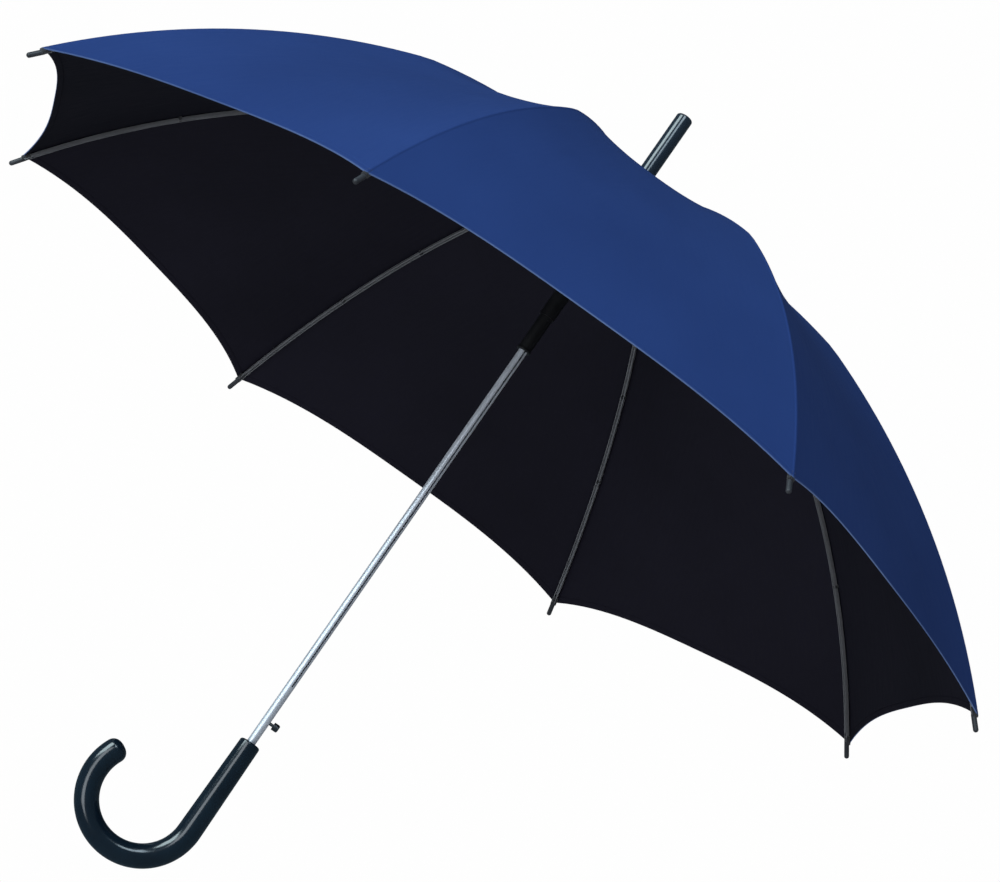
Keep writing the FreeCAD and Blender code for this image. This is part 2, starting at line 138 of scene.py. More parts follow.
CLOTH_START = 3 * MM                # where the cloth starts, from the crown pivot along the rib
CLOTH_END = INNER.length + OUTER.length - CAP_LENGTH - 1 * MM
CLOTH_LENGTH = CLOTH_END - CLOTH_START
CLOTH_LIFT = 3.5 * MM               # middle of the cloth above the middle of the rib
CLOTH_HALF = 0.2 * MM               # half the thickness of the cloth
SCALLOP = 20 * MM                   # how far the hem curves back between two ribs
SAG = 7.6 * MM                      # how far the hoop pull draws the cloth in between the ribs
HEM_CURVE = 3.0                     # a higher power turns the hem more sharply beside a rib
SAG_CURVE = 2.2

BODY_ROWS = 44
BODY_COLUMNS = 16
FLAT_STEPS = 200                    # strips in which a wing's cut is measured
HEM_LINES = [8.0, 7.4, 6.6, 5.8, 5.0, 2.5, 0.5, 0.0]     # millimetres from the edge
SEAM_LINES = [0.0, 0.5, 1.3, 2.0, 2.6, 3.4]              # millimetres from the rib
SHARP_ANGLE = math.radians(50)      # edges that turn by more than this are drawn sharp


def smooth_step(value):
    value = min(1.0, max(0.0, value))
    return value * value * (3.0 - 2.0 * value)


def gore_point(travel, across, azimuth, side):
    """The middle of the cloth, by distance from the crown and share of the way to mid-gore."""
    share = min(1.0, max(0.0, travel / CLOTH_LENGTH))
    radius, height, dip = rib_place(CLOTH_START + travel, CLOTH_LIFT)
    back = SCALLOP * share ** 5 * (1.0 - abs(1.0 - across) ** HEM_CURVE)
    sag = SAG * math.sin(math.pi * share ** 0.75) * (1.0 - abs(1.0 - across) ** SAG_CURVE)
    reach = radius * math.cos(HALF_STEP) - back * math.cos(dip) - sag * math.sin(dip)
    level = height + back * math.sin(dip) - sag * math.cos(dip)
    beside = radius * math.sin(HALF_STEP) * (1.0 - across)
    axis = outward(azimuth + side * HALF_STEP)
    tangent = Vector((-axis.y, axis.x, 0))
    return axis * reach - tangent * beside * side + UP * level


def gore_normal(travel, across, azimuth, side):
    """Upward normal of the cloth; on the seam it is the rib's own, so that both wings agree."""
    step, nudge = 0.5 * MM, 0.002
    if across <= 0.0:
        dip = rib_place(CLOTH_START + travel, CLOTH_LIFT)[2]
        return outward(azimuth) * math.sin(dip) + UP * math.cos(dip)
    down = (gore_point(travel + step, across, azimuth, side)
            - gore_point(travel - step, across, azimuth, side))
    over = (gore_point(travel, across + nudge, azimuth, side)
            - gore_point(travel, across - nudge, azimuth, side))
    normal = down.cross(over).normalized() * side
    return normal if normal.z > 0 else -normal


def travel_rows():
    last = CLOTH_LENGTH - HEM_LINES[0] * MM
    rows = [last * (k / BODY_ROWS) for k in range(BODY_ROWS)]
    return rows + [CLOTH_LENGTH - line * MM for line in HEM_LINES]


def across_columns(travel):
    """(share of the way to mid-gore, distance from the rib) for each column of the mesh."""
    width = rib_place(CLOTH_START + travel, CLOTH_LIFT)[0] * math.sin(HALF_STEP)
    seam = min(1.0, width / (6.0 * SEAM_LINES[-1] * MM))
    columns = [line * MM * seam for line in SEAM_LINES]
    first = columns[-1]
    columns += [first + (width - first) * k / BODY_COLUMNS for k in range(1, BODY_COLUMNS + 1)]
    return [(distance / width, distance) for distance in columns]


def seam_relief(distance):
    """The sewn edges of two gores stand up beside the rib, with a groove at the stitches."""
    ridge = 0.45 * MM * (1.0 - smooth_step(distance / (2.6 * MM)))
    groove = 0.3 * MM * math.exp(-(distance / (0.35 * MM)) ** 2)
    stitched = 0.12 * MM * math.exp(-((distance - 2.0 * MM) / (0.4 * MM)) ** 2)
    return ridge - groove - stitched


def hem_relief(edge_distance):
    """The hem is turned in once, so that the cloth is doubled there."""
    doubled = 0.5 * MM * (1.0 - smooth_step((edge_distance - 6.6 * MM) / (0.8 * MM)))
    stitched = 0.15 * MM * math.exp(-((edge_distance - 5.8 * MM) / (0.4 * MM)) ** 2)
    return doubled, stitched


def mesh_object(name, points, faces, materials=(), indices=None):
    mesh = bpy.data.meshes.new(name)
    mesh.from_pydata([tuple(p) for p in points], [], faces)
    for material in materials:
        mesh.materials.append(material)
    if indices:
        mesh.polygons.foreach_set("material_index", indices)
    mesh.polygons.foreach_set("use_smooth", [True] * len(mesh.polygons))
    bm = bmesh.new()
    bm.from_mesh(mesh)
    bmesh.ops.recalc_face_normals(bm, faces=bm.faces)
    bm.to_mesh(mesh)
    bm.free()
    mesh.set_sharp_from_angle(angle=SHARP_ANGLE)
    piece = bpy.data.objects.new(name, mesh)
    bpy.context.scene.collection.objects.link(piece)
    return piece


def thread_places(piece, places):
    """Keeps each point's distance from the rib, the crown and the hem, for weave and seams."""
    attribute = piece.data.attributes.new("thread", "FLOAT_VECTOR", "POINT")
    flat = [value for place in places for value in place]
    attribute.data.foreach_set("vector", flat)


def canopy_wing(name, number, side, materials):
    """Half a gore, as one closed sheet of cloth with an outer and an inner skin."""
    azimuth = rib_azimuth(number)
    skins, places = ([], []), []
    rows = travel_rows()
    for travel in rows:
        edge_distance = CLOTH_LENGTH - travel
        doubled, stitched = hem_relief(edge_distance)
        for across, distance in across_columns(travel):
            middle = gore_point(travel, across, azimuth, side)
            normal = gore_normal(travel, across, azimuth, side)
            proud = CLOTH_HALF + seam_relief(distance) - stitched
            inside = CLOTH_HALF + doubled
            skins[0].append(middle + normal * proud)
            skins[1].append(middle - normal * inside)
            places.append((distance, travel, edge_distance))
    lines, width = len(rows), len(SEAM_LINES) + BODY_COLUMNS
    count = lines * width
    faces, indices = [], []
    for skin in (0, 1):
        for row in range(lines - 1):
            for column in range(width - 1):
                a = skin * count + row * width + column
                face = [a, a + width, a + width + 1, a + 1]
                faces.append(face if skin == 0 else face[::-1])
                indices.append(skin)
    border = [row * width for row in range(lines)]
    border += [(lines - 1) * width + column for column in range(1, width)]
    border += [row * width + width - 1 for row in range(lines - 2, -1, -1)]
    border += list(range(width - 2, 0, -1))
    for here, there in zip(border, border[1:] + border[:1]):
        faces.append([here, here + count, there + count, there])
        indices.append(0)
    piece = mesh_object(name, skins[0] + skins[1], faces, materials, indices)
    thread_places(piece, places + places)
    return piece


def flat_wing():
    """(width, length) and area of a wing's cut, from the widths of its rows."""
    step = CLOTH_LENGTH / FLAT_STEPS
    half_widths = [rib_place(CLOTH_START + (k + 0.5) * step, CLOTH_LIFT)[0] * math.sin(HALF_STEP)
                   for k in range(FLAT_STEPS)]
    hem_bow = SCALLOP * max(half_widths) * HEM_CURVE / (HEM_CURVE + 1.0)
    return (max(half_widths), CLOTH_LENGTH), sum(half_widths) * step - hem_bow


# ---------------------------------------------------------------- other shapes

def ring_faces(rings, sides, closed):
    faces = []
    for ring in range(rings if closed else rings - 1):
        after = (ring + 1) % rings
        for k in range(sides):
            turn = (k + 1) % sides
            faces.append([ring * sides + k, ring * sides + turn,
                          after * sides + turn, after * sides + k])
    return faces


def sweep(name, stations, side_axis, material, sides):
    """A closed tube through stations of (place, direction, radius) that lie in one plane."""
    points = []
    for place, direction, radius in stations:
        across = side_axis.cross(direction).normalized()
        for k in range(sides):
            angle = 2.0 * math.pi * k / sides
            points.append(place + (side_axis * math.cos(angle) + across * math.sin(angle)) * radius)
    faces = ring_faces(len(stations), sides, False)
    faces.append(list(range(sides))[::-1])
    faces.append([(len(stations) - 1) * sides + k for k in range(sides)])
    return mesh_object(name, points, faces, [material])


def quarter_turn(size, steps=6):
    """(inward, along) offsets of a rounded edge of that size, from its face to its side."""
    angles = [math.pi / 2.0 * k / steps for k in range(steps + 1)]
    return [(size * (1.0 - math.sin(a)), size * (1.0 - math.cos(a))) for a in angles]


# ---------------------------------------------------------------- materials

class Paint:
    """One node material on a Principled shader; add() makes a node and links what it is given."""

    def __init__(self, name, **constants):
        self.material = bpy.data.materials.new(name)
        self.material.use_nodes = True
        self.tree = self.material.node_tree
        self.shader = self.tree.nodes["Principled BSDF"]
        self.set(**constants)

    def set(self, **values):
        for name, value in values.items():
            self.feed(self.shader.inputs[name.replace("_", " ")], value)

    def feed(self, socket, value):
        if isinstance(value, bpy.types.NodeSocket):
            self.tree.links.new(value, socket)
        elif socket.type == "RGBA":
            socket.default_value = (*value, 1.0)
        else:
            socket.default_value = value

    def add(self, kind, output=0, settings=(), **inputs):
        node = self.tree.nodes.new("ShaderNode" + kind)
        for key, value in settings:
            setattr(node, key, value)
        for name, value in inputs.items():
            self.feed(node.inputs[name.replace("_", " ")], value)
        return node.outputs[output]

    def place(self):
        return self.add("TexCoord", "Object")

    def stretched(self, scale, source=None):
        return self.add("Mapping", Vector=source or self.place(), Scale=scale)

    def noise(self, scale, detail, source=None):
        return self.add("TexNoise", Vector=source or self.place(), Scale=scale, Detail=detail)

    def remap(self, value, low, high, to_low, to_high):
        node = self.tree.nodes.new("ShaderNodeMapRange")
        for index, given in enumerate((value, low, high, to_low, to_high)):
            self.feed(node.inputs[index], given)
        return node.outputs[0]

    def math(self, operation, first, second):
        node = self.tree.nodes.new("ShaderNodeMath")
        node.operation = operation
        for index, given in enumerate((first, second)):
            self.feed(node.inputs[index], given)
        return node.outputs[0]

    def blend(self, share, first, second):
        node = self.tree.nodes.new("ShaderNodeMix")
        node.data_type = "RGBA"
        self.feed(node.inputs["Factor"], share)
        self.feed(node.inputs[6], first)
        self.feed(node.inputs[7], second)
        return node.outputs[2]

    def bump(self, height, strength, distance):
        normal = self.add("Bump", Height=height, Strength=strength, Distance=distance)
        self.set(Normal=normal)


THREAD_PITCH = 0.55 * MM
WAVE_PERIOD = 2.0 * math.pi / 20.0      # of a wave texture at scale 1


def weave_height(paint, thread):
    """Plain weave: warp and weft ribs that cross, finest at the thread's own pitch."""
    scale = WAVE_PERIOD / THREAD_PITCH
    warp = paint.add("TexWave", 1, [("bands_direction", "X")], Vector=thread, Scale=scale)
    weft = paint.add("TexWave", 1, [("bands_direction", "Y")], Vector=thread, Scale=scale)
    return paint.math("MULTIPLY", warp, weft)


def cloth(name, deep, light, hem_highlight_colour, sheen_colour, roughness, sheen, gloss):
    """Woven polyester: weave, seam stitches, puckers along the sewn edges, faint folds, and a painted
    highlight along the hem's edge.
    """
    paint = Paint(name, Specular_IOR_Level=gloss, Sheen_Weight=sheen, Sheen_Roughness=0.45,
                  Sheen_Tint=sheen_colour)
    thread = paint.add("Attribute", "Vector", [("attribute_name", "thread")])
    parts = paint.tree.nodes.new("ShaderNodeSeparateXYZ")
    paint.feed(parts.inputs[0], thread)
    from_rib, travel, from_edge = parts.outputs
    weave = weave_height(paint, thread)
    cloudy = paint.noise(5.0, 3.0)
    slubs = paint.noise(1.0, 2.0, paint.stretched((240.0, 34.0, 1.0), thread))
    near_seam = paint.remap(from_rib, 0.0, 0.016, 1.0, 0.0)
    near_hem = paint.remap(from_edge, 0.0, 0.014, 1.0, 0.0)
    sewn = paint.math("MAXIMUM", near_seam, near_hem)
    shade = paint.remap(cloudy, 0.3, 0.7, 0.0, 0.75)
    shade = paint.math("ADD", shade, paint.math("MULTIPLY", slubs, 0.18))
    shade = paint.math("ADD", shade, paint.math("MULTIPLY", weave, 0.12))
    # Painted highlight: within 1.6 mm of the hem edge the colour turns toward a lighter one, patchy
    # with the cloudy tone, standing in for light caught by the folded hem.
    painted_hem_highlight = paint.math("MULTIPLY", paint.remap(from_edge, 0.0, 0.0016, 0.6, 0.0), cloudy)
    paint.set(Base_Color=paint.blend(painted_hem_highlight, paint.blend(shade, deep, light), hem_highlight_colour))
    paint.set(Roughness=paint.remap(slubs, 0.3, 0.7, roughness - 0.05, roughness + 0.06))
    pucker = paint.noise(1.0, 2.0, paint.stretched((40.0, 190.0, 40.0), thread))
    pucker = paint.math("MULTIPLY", pucker, sewn)
    folds = paint.noise(1.0, 2.0, paint.stretched((46.0, 7.0, 5.0), thread))
    height = paint.math("ADD", paint.math("MULTIPLY", pucker, 1.4),
                        paint.math("MULTIPLY", folds, 0.8))
    height = paint.math("ADD", height, paint.math("MULTIPLY", weave, 0.10))
    paint.bump(height, 0.5, 0.6 * MM)
    return paint.material


EVEN = (300.0, 300.0, 300.0)        # scales of the streaks in a cast or pressed part
DRAWN = (900.0, 900.0, 3.0)         # and in drawn wire
TUBE_STREAKS = (60.0, 60.0, 3.0)


def steel(name, colour, low, high, streak, grain=0.05, metal=1.0):
    """Metal with fine streaks and small changes of gloss."""
    paint = Paint(name, Metallic=metal)
    streaks = paint.noise(1.0, 4.0, paint.stretched(streak))
    clouds = paint.noise(55.0, 3.0)
    mixed = paint.math("ADD", paint.math("MULTIPLY", streaks, 0.6),
                       paint.math("MULTIPLY", clouds, 0.4))
    darker = tuple(value * 0.82 for value in colour)
    paint.set(Base_Color=paint.blend(paint.remap(mixed, 0.35, 0.65, 0.0, 1.0), darker, colour))
    paint.set(Roughness=paint.remap(mixed, 0.35, 0.65, low, high))
    paint.bump(streaks, grain, 0.1 * MM)
    return paint.material


def lacquer(name, deep, light):
    """Thick gloss lacquer over a dark blue ground, with faint orange peel and handling marks."""
    paint = Paint(name, Coat_Weight=1.0, Coat_Roughness=0.16, Specular_IOR_Level=0.3)
    clouds = paint.noise(30.0, 4.0)
    marks = paint.noise(420.0, 3.0, paint.stretched((1.0, 1.0, 0.12)))
    peel = paint.noise(260.0, 1.0)
    paint.set(Base_Color=paint.blend(paint.remap(clouds, 0.35, 0.65, 0.0, 1.0), deep, light))
    paint.set(Roughness=paint.remap(marks, 0.4, 0.7, 0.14, 0.26))
    paint.bump(peel, 0.03, 0.10 * MM)
    return paint.material


def moulded(name, colour, low, high):
    """Moulded plastic with a fine spark-eroded grain."""
    paint = Paint(name, Specular_IOR_Level=0.4)
    grain = paint.noise(900.0, 2.0)
    clouds = paint.noise(70.0, 3.0)
    lighter = tuple(value * 1.5 + 0.002 for value in colour)
    paint.set(Base_Color=paint.blend(paint.remap(clouds, 0.3, 0.7, 0.0, 1.0), colour, lighter))
    paint.set(Roughness=paint.remap(clouds, 0.3, 0.7, low, high))
    paint.bump(grain, 0.2, 0.08 * MM)
    return paint.material


def sewing_thread(name, colour):
    """Matt spun thread, with fine strands."""
    paint = Paint(name, Roughness=0.8, Sheen_Weight=0.3)
    strands = paint.noise(2600.0, 2.0)
    lighter = tuple(value * 1.8 + 0.004 for value in colour)
    paint.set(Base_Color=paint.blend(strands, colour, lighter))
    paint.bump(strands, 0.4, 0.1 * MM)
    return paint.material


# The third colour given to each cloth is the colour of its painted hem highlight.
OUTSIDE = cloth("canopy_outside", (0.0138, 0.034, 0.130), (0.0184, 0.044, 0.162), (0.20, 0.28, 0.45),
                (0.3, 0.5, 1.0), 0.74, 0.012, 0.04)
# Painted shade: the cloth is navy through, and its inner skin is drawn near-black to stand in for the
# shade under the canopy.
INSIDE_PAINTED_SHADE = cloth("canopy_inside", (0.0058, 0.0052, 0.0100), (0.0082, 0.0073, 0.0140), (0.02, 0.02, 0.03),
               (0.3, 0.35, 0.6), 0.80, 0.01, 0.10)
# The chrome's faint blue tint is a painted reflection.
CHROME = steel("shaft_chrome", (0.84, 0.88, 0.97), 0.36, 0.40, TUBE_STREAKS, 0.0, 0.60)
RIB_STEEL = steel("rib_steel", (0.30, 0.30, 0.32), 0.34, 0.44, EVEN, 0.05, 0.60)
BLACK_STEEL = steel("stretcher_steel", (0.05, 0.05, 0.055), 0.38, 0.5, EVEN)
SPRING_STEEL = steel("spring_steel", (0.10, 0.10, 0.11), 0.35, 0.48, DRAWN)
BUTTON_NICKEL = steel("button_nickel", (0.30, 0.30, 0.32), 0.22, 0.34, (400.0, 400.0, 400.0))
HANDLE = lacquer("handle_lacquer", (0.0030, 0.0080, 0.0150), (0.0042, 0.0115, 0.0200))
# Painted highlight: the ferrule's lacquer is drawn lighter than the handle's to stand in for light the
# lamps don't put on it.
FERRULE = lacquer("ferrule_lacquer", (0.0095, 0.0165, 0.0270), (0.0130, 0.0215, 0.0340))
BLACK_PLASTIC = moulded("hub_plastic", (0.004, 0.004, 0.005), 0.42, 0.56)
CAP_PLASTIC = moulded("cap_plastic", (0.020, 0.021, 0.025), 0.34, 0.46)
BLACK_THREAD = sewing_thread("black_thread", (0.006, 0.006, 0.009))

NODE_PAINTS = {
    "shaft_tube": CHROME,
    "crown_notch": BLACK_PLASTIC,
    "runner_sleeve": BLACK_PLASTIC,
    "crown_tie_wire": SPRING_STEEL,
    "runner_tie_wire": SPRING_STEEL,
    "opening_spring": SPRING_STEEL,
    "latch_spring": SPRING_STEEL,
    "drive_pin": SPRING_STEEL,
    "release_button": BUTTON_NICKEL,
    "canopy_rosette": OUTSIDE,
    "crook_handle": HANDLE,
    "ferrule_spike": FERRULE,
    "rib_inner": RIB_STEEL,
    "rib_outer": RIB_STEEL,
    "rib_tip": CAP_PLASTIC,
    "stretcher": BLACK_STEEL,
}

for node_name, node in frame["nodes"].items():
    kind = node_name.rstrip("12345678").rstrip("_")
    if kind in NODE_PAINTS:
        node.data.materials.clear()
        node.data.materials.append(NODE_PAINTS[kind])


# ---------------------------------------------------------------- canopy


def add_canopy():
    flat, area = flat_wing()
    for number in range(1, RIBS + 1):
        for side, word in ((1, "left"), (-1, "right")):
            piece = canopy_wing("canopy_%s_%d" % (word, number), number, side, [OUTSIDE, INSIDE_PAINTED_SHADE])
            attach(piece, "cloth_%s_%d" % (word, number))
            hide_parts("wing_%s_%d" % (word, number))
            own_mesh(piece)


add_canopy()


# ---------------------------------------------------------------- rosette, ties and strap

def add_rosette():
    """A frilled ring of canopy cloth under the ferrule, which covers the open crown."""
    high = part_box("canopy_rosette")[1]
    rim, bore, sides = high.x, 4.1 * MM, 96
    cloth_depth, droop, frill_lift, frill_count = 0.5 * MM, 1.3 * MM, 0.25 * MM, 16
    profile = []
    for share in (0.0, 0.15, 0.4, 0.7, 0.9, 1.0):
        profile.append((bore + (rim - bore) * share, high.z - droop * share ** 2))
    points = []
    for thickness in (0.0, cloth_depth):
        for radius, height in (profile if thickness == 0.0 else profile[::-1]):
            for k in range(sides):
                angle = 2.0 * math.pi * k / sides
                frill = math.cos(frill_count * angle) * ((radius - bore) / (rim - bore)) ** 3
                reach = radius * (1.0 + 0.02 * frill)
                points.append(outward(angle) * reach
                              + UP * (height - thickness + frill_lift * frill))
    piece = mesh_object("canopy_rosette_cloth", points,
                        ring_faces(2 * len(profile), sides, True), [OUTSIDE])
    thread_places(piece, [(math.hypot(p.x, p.y), math.atan2(p.y, p.x) * 0.01, 0.02)
                          for p in points])
    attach(piece, "shaft")
    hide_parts("canopy_rosette")


def wrap(name, number, first, last, radius, lift, turns, body):
    """Thread wound round a rib and caught in the seam above it."""
    azimuth = rib_azimuth(number)
    side_axis = UP.cross(outward(azimuth))
    steps, stations = turns * 6, []
    for k in range(steps + 1):
        height_lift = lift * (0.9 + 0.1 * math.cos(9.0 * k))
        distance, height, dip = rib_place(first + (last - first) * k / steps, height_lift)
        ends = min(1.0, 0.75 + 0.5 * min(k, steps - k))
        size = radius * ends * (0.93 + 0.07 * math.cos(2.0 * math.pi * k / 6.0))
        direction = outward(azimuth) * math.cos(dip) - UP * math.sin(dip)
        stations.append((outward(azimuth) * distance + UP * height, direction, size))
    piece = sweep(name, stations, side_axis, BLACK_THREAD, 20)
    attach(piece, body)


TIE_PLACES = (0.24, 0.55, 0.74)     # shares of the cloth's length


def add_ties():
    for number in range(1, RIBS + 1):
        for order, share in enumerate(TIE_PLACES, start=1):
            middle = CLOTH_START + share * CLOTH_LENGTH
            body = "rib_%d" if middle < INNER.length else "rib_end_%d"
            wrap("rib_tie_%d_%d" % (number, order), number, middle - 1.4 * MM, middle + 1.4 * MM,
                 2.75 * MM, 0.9 * MM, 3, body % number)
        wrap("corner_tie_%d" % number, number, CLOTH_END - 7.5 * MM, CLOTH_END + 1.2 * MM,
             3.0 * MM, 0.9 * MM, 8, "rib_end_%d" % number)


STRAP_RIB = 6                       # on the gore that faces away from the camera
STRAP_LENGTH = 128 * MM
STRAP_HALF_WIDTH = 7 * MM
STRAP_FROM_HEM = 62 * MM
STRAP_FROM_SEAM = 5 * MM
STRAP_SKINS = (0.35 * MM, 1.15 * MM)    # heights of its two faces above the middle of the cloth
STRAP_BILLOW = 0.5 * MM             # extra height halfway along
STITCH_DEPTH = 0.25 * MM


def add_closing_strap():
    """The strap that is wound round the closed umbrella, sewn on beside a seam, with its snap."""
    azimuth, middle = rib_azimuth(STRAP_RIB), CLOTH_LENGTH - STRAP_FROM_HEM
    width = rib_place(CLOTH_START + middle, CLOTH_LIFT)[0] * math.sin(HALF_STEP)
    lengths, widths = 40, 10

    def on_cloth(along, beside, above):
        across = (STRAP_FROM_SEAM + along) / width
        travel = middle + beside
        return (gore_point(travel, across, azimuth, 1)
                + gore_normal(travel, across, azimuth, 1) * above)

    points, places = [], []
    for above in STRAP_SKINS:
        for row in range(lengths + 1):
            along = STRAP_LENGTH * row / lengths
            left = STRAP_LENGTH - along
            narrow = 1.0
            if left < STRAP_HALF_WIDTH:
                narrow = math.sqrt(max(0.02, 1.0 - (1.0 - left / STRAP_HALF_WIDTH) ** 2))
            for column in range(widths + 1):
                beside = STRAP_HALF_WIDTH * (2.0 * column / widths - 1.0) * narrow
                stitched = column in (1, widths - 1) and above == STRAP_SKINS[1]
                sewn = STITCH_DEPTH if stitched else 0.0
                lift = STRAP_BILLOW * math.sin(math.pi * row / lengths)
                points.append(on_cloth(along, beside, above + lift - sewn))
                places.append((0.02 + along, beside, 0.02))
    count, line = (lengths + 1) * (widths + 1), widths + 1
    faces = []
    for skin in (0, 1):
        for row in range(lengths):
            for column in range(widths):
                a = skin * count + row * line + column
                faces.append([a, a + line, a + line + 1, a + 1])
    border = [row * line for row in range(lengths + 1)]
    border += [lengths * line + column for column in range(1, line)]
    border += [row * line + widths for row in range(lengths - 1, -1, -1)]
    border += list(range(widths - 1, 0, -1))
    for here, there in zip(border, border[1:] + border[:1]):
        faces.append([here, here + count, there + count, there])
    strap = mesh_object("closing_strap", points, faces, [OUTSIDE])
    thread_places(strap, places)

    along = STRAP_LENGTH - STRAP_HALF_WIDTH
    centre = on_cloth(along, 0.0, 1.1 * MM)
    normal = gore_normal(middle, (STRAP_FROM_SEAM + along) / width, azimuth, 1)
    side_axis = normal.orthogonal().normalized()
    profile = [(0.0, 4.6), (0.5, 5.0), (1.0, 4.7), (1.3, 3.6), (1.1, 2.2), (1.5, 1.5), (1.6, 0.4)]
    stations = [(centre + normal * rise * MM, normal, radius * MM) for rise, radius in profile]
    snap = sweep("strap_snap", stations, side_axis, BUTTON_NICKEL, 40)
    body = "cloth_left_%d" % STRAP_RIB
    for piece, slot_name in ((strap, "canopy_cloth"), (snap, "button_metal")):
        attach(piece, body)
        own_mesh(piece)


add_rosette()
add_ties()
add_closing_strap()


# ---------------------------------------------------------------- handle and ferrule

STRAIGHT_GRIP = 91 * MM
GRIP_TOP_RADIUS = 9.5 * MM
GRIP_RADIUS = 10.7 * MM
CROOK_RADIUS = 47.5 * MM
CROOK_SWEEP = math.radians(205)
SHAFT_HOLE = 4.05 * MM
MOUTH_ROUND = 2 * MM                # of the grip's top edge
CROOK_DOME = 8.5 * MM               # length of the rounded end
CROOK_STEPS = 72
DOME_STEPS = 12


def add_handle():
    """The straight grip, a little wider toward the bend, the crook and its rounded end."""
    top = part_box("crook_handle")[1].z
    bend = top - STRAIGHT_GRIP
    stations = [(UP * (top - 4 * MM), -UP, SHAFT_HOLE), (UP * (top - 0.7 * MM), -UP, SHAFT_HOLE),
                (UP * (top - 0.1 * MM), -UP, SHAFT_HOLE + 0.5 * MM)]
    for inward, along in quarter_turn(MOUTH_ROUND):
        stations.append((UP * (top - along), -UP, GRIP_TOP_RADIUS - inward))
    for share in (0.15, 0.3, 0.5, 0.7, 0.85):
        radius = GRIP_TOP_RADIUS + (GRIP_RADIUS - GRIP_TOP_RADIUS) * share
        drop = MOUTH_ROUND + (top - bend - MOUTH_ROUND) * share
        stations.append((UP * (top - drop), -UP, radius))
    for k in range(CROOK_STEPS + 1):
        angle = CROOK_SWEEP * k / CROOK_STEPS
        place = Vector((CROOK_RADIUS * (1.0 - math.cos(angle)), 0,
                        bend - CROOK_RADIUS * math.sin(angle)))
        stations.append((place, Vector((math.sin(angle), 0, -math.cos(angle))), GRIP_RADIUS))
    end, direction = stations[-1][:2]
    for k in range(1, DOME_STEPS + 1):
        angle = math.pi / 2.0 * k / DOME_STEPS
        reach = GRIP_RADIUS * math.cos(angle) ** 0.8 if k < DOME_STEPS else 0.4 * MM
        stations.append((end + direction * CROOK_DOME * math.sin(angle), direction, reach))
    piece = sweep("crook_handle_lacquered", stations, Vector((0, 1, 0)), HANDLE, 64)
    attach(piece, "shaft")
    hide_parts("crook_handle")


def add_ferrule():
    """A plain round post with a rounded top."""
    low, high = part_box("ferrule_spike")
    radius = high.x
    stations = [(UP * (low.z + along), UP, radius - inward)
                for inward, along in quarter_turn(0.6 * MM, 3)]
    stations += [(UP * (low.z + (high.z - low.z) * share), UP, radius)
                 for share in (0.1, 0.3, 0.5, 0.7, 0.9)]
    stations += [(UP * (high.z - along), UP, radius - inward)
                 for inward, along in reversed(quarter_turn(2.6 * MM, 10))]
    stations.append((UP * (high.z - 0.15 * MM), UP, 0.5 * radius))
    piece = sweep("ferrule_lacquered", stations, Vector((0, 1, 0)), FERRULE, 64)
    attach(piece, "shaft")
    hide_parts("ferrule_spike")


TRACK_HALF_WIDTH = 0.8 * MM
TRACK_FOOT, TRACK_TOP = 104 * MM, 504 * MM
TRACK_AZIMUTH = math.radians(90 + 24)   # 24 degrees from +Y toward -X


TUBE_WALL = 0.6 * MM
TUBE_STEPS = 72
BESIDE_TRACK = math.radians(18)     # where the even spacing round the tube begins


def tube_ring(radius):
    """Places round the tube: the track's far edge comes last but one, and its middle last."""
    edge = math.asin(TRACK_HALF_WIDTH / radius)
    spread = 2.0 * math.pi - 2.0 * BESIDE_TRACK
    angles = [edge] + [BESIDE_TRACK + spread * k / TUBE_STEPS for k in range(TUBE_STEPS + 1)]
    angles += [2.0 * math.pi - edge, 0.0]
    return [outward(TRACK_AZIMUTH + angle) * radius for angle in angles]


def add_shaft():
    """One closed tube, with the track cut through its wall between two levels."""
    low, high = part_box("shaft_tube")
    levels = (low.z, TRACK_FOOT, TRACK_TOP, high.z)
    outer, bore = tube_ring(high.x), tube_ring(high.x - TUBE_WALL)
    count = len(outer)
    points = [place + UP * level for level in levels for ring in (outer, bore) for place in ring]
    last, near_edge, far_edge = len(levels) - 1, 0, count - 2
    track_part = 1                      # between the second level and the third

    def corner(level, wall, k):
        return (2 * level + wall) * count + k % count

    faces = []
    for k in range(count):
        across_track = k >= far_edge
        for level in range(last):
            if not (across_track and level == track_part):
                for wall in (0, 1):
                    faces.append([corner(level, wall, k), corner(level, wall, k + 1),
                                  corner(level + 1, wall, k + 1), corner(level + 1, wall, k)])
        for level in range(last + 1) if across_track else (0, last):
            faces.append([corner(level, 0, k), corner(level, 0, k + 1),
                          corner(level, 1, k + 1), corner(level, 1, k)])
    for k in (near_edge, far_edge):
        faces.append([corner(1, 0, k), corner(1, 1, k), corner(2, 1, k), corner(2, 0, k)])
    piece = mesh_object("shaft_tube_chrome", points, faces, [CHROME])
    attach(piece, "shaft")
    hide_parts("shaft_tube")


add_handle()
add_ferrule()
add_shaft()


# ---------------------------------------------------------------- camera, light and floor

CAMERA_PLACE = Vector((0.151, 2.949, -0.272))
CAMERA_UP = Vector((0.5788, 0.1438, 0.8027))
CAMERA_AHEAD = Vector((-0.0592, -0.9743, 0.2172))
LENS_MM = 125.0
SENSOR_MM = 36.0
FLOOR_LEVEL = -1.0
FLOOR_REACH = 40.0

view_right = CAMERA_AHEAD.cross(CAMERA_UP).normalized()
view_up = view_right.cross(CAMERA_AHEAD).normalized()
view_back = -CAMERA_AHEAD.normalized()


def facing(place, right, up, back):
    turn = Matrix((right, up, back)).transposed().to_4x4()
    return Matrix.Translation(place) @ turn


def add_camera():
    data = bpy.data.cameras.new("camera")
    data.lens = LENS_MM
    data.sensor_width = SENSOR_MM
    data.clip_start, data.clip_end = 0.05, 90.0
    camera = bpy.data.objects.new("camera", data)
    camera.matrix_world = facing(CAMERA_PLACE, view_right, view_up, view_back)
    bpy.context.scene.collection.objects.link(camera)
    bpy.context.scene.camera = camera


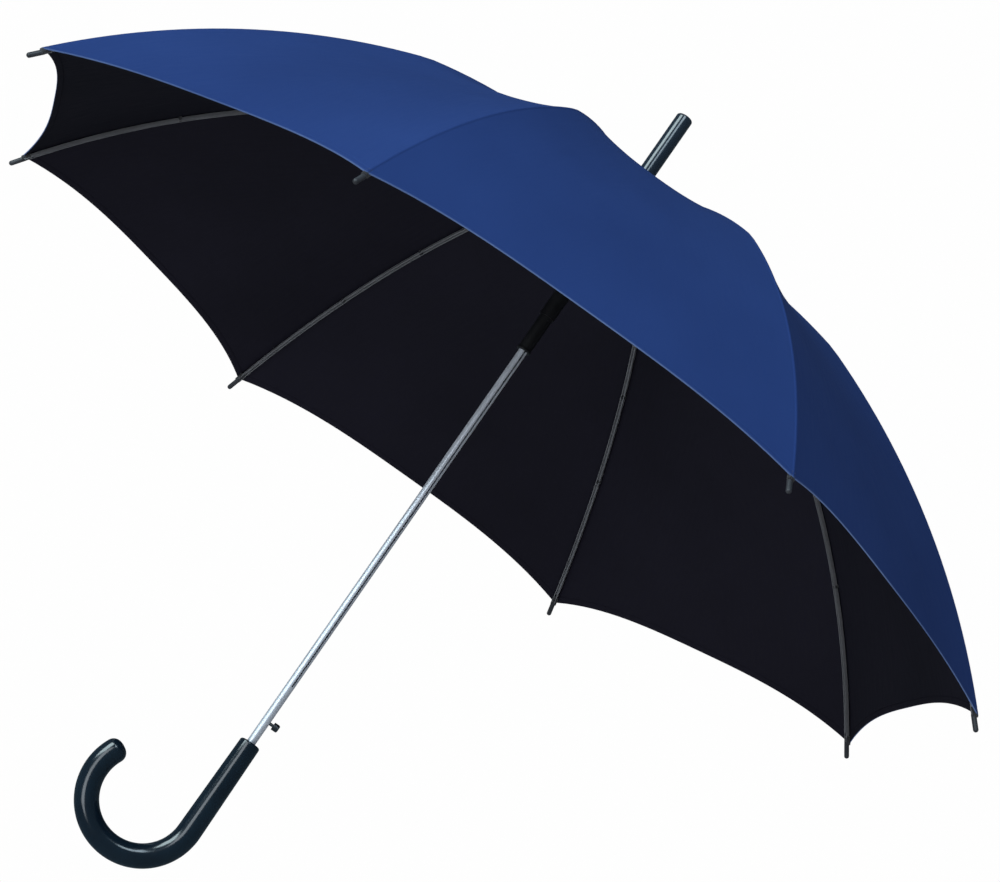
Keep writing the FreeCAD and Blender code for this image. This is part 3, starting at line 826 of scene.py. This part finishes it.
def add_area_light(name, direction, along, distance, width, height, watts, colour):
    """A soft box that looks at the umbrella. The direction is right, up and toward the camera."""
    target = (cad_box[0] + cad_box[1]) / 2.0
    right, up, toward = direction
    back = (view_right * right + view_up * up + view_back * toward).normalized()
    tall = (along - back * along.dot(back)).normalized()
    data = bpy.data.lights.new(name, "AREA")
    data.shape = "RECTANGLE"
    data.size, data.size_y = width, height
    data.energy = watts
    data.color = colour
    light = bpy.data.objects.new(name, data)
    light.matrix_world = facing(target + back * distance, tall.cross(back), tall, back)
    bpy.context.scene.collection.objects.link(light)


def add_world():
    """White behind the umbrella, soft fill on it, and a dimmer studio in what it reflects."""
    world = bpy.data.worlds.new("studio")
    world.use_nodes = True
    bpy.context.scene.world = world
    tree = world.node_tree
    rays = tree.nodes.new("ShaderNodeLightPath")

    def light(colour, strength):
        node = tree.nodes.new("ShaderNodeBackground")
        node.inputs["Color"].default_value = (*colour, 1.0)
        node.inputs["Strength"].default_value = strength
        return node.outputs[0]

    def choose(ray, otherwise, chosen):
        node = tree.nodes.new("ShaderNodeMixShader")
        tree.links.new(rays.outputs[ray], node.inputs[0])
        tree.links.new(otherwise, node.inputs[1])
        tree.links.new(chosen, node.inputs[2])
        return node.outputs[0]

    fill = light((0.95, 0.96, 1.0), 0.28)
    reflected = light((0.60, 0.84, 1.0), 0.09)
    white = light((0.992, 0.992, 0.992), 1.0)
    shown = choose("Is Camera Ray", choose("Is Glossy Ray", fill, reflected), white)
    tree.links.new(shown, tree.nodes["World Output"].inputs["Surface"])


def add_floor():
    """A wide pale floor, well below the umbrella, which glows a little so that it stays pale."""
    paint = Paint("studio_floor", Roughness=0.85, Specular_IOR_Level=0.2,
                  Emission_Color=(1.0, 1.0, 1.0), Emission_Strength=0.52)
    tone = paint.noise(1.5, 2.0)
    paint.set(Base_Color=paint.blend(tone, (0.86, 0.86, 0.87), (0.90, 0.90, 0.90)))
    sides = 96
    points = [outward(2.0 * math.pi * k / sides) * FLOOR_REACH + UP * FLOOR_LEVEL
              for k in range(sides)]
    floor = mesh_object("studio_floor", points, [list(range(sides))], [paint.material])
    floor.visible_glossy = False        # so that the lacquer mirrors the soft boxes alone


add_camera()
add_world()
add_floor()
add_area_light("key", (-0.42, 0.86, 0.38), view_up, 3.2, 1.6, 1.6, 56.0, (0.78, 0.96, 1.0))
add_area_light("front", (-0.46, 0.36, 1.0), UP, 3.2, 1.3, 2.6, 32.0, (0.86, 0.94, 1.0))
add_area_light("over_crook", (0.30, 0.85, 0.70), view_right, 2.6, 1.4, 0.9, 24.0, (0.70, 0.88, 1.0))
add_area_light("top", (0.0, 1.0, -0.5), view_right, 3.5, 2.0, 2.0, 4.0, (0.75, 0.90, 1.0))

bpy.context.scene.view_settings.view_transform = "Standard"
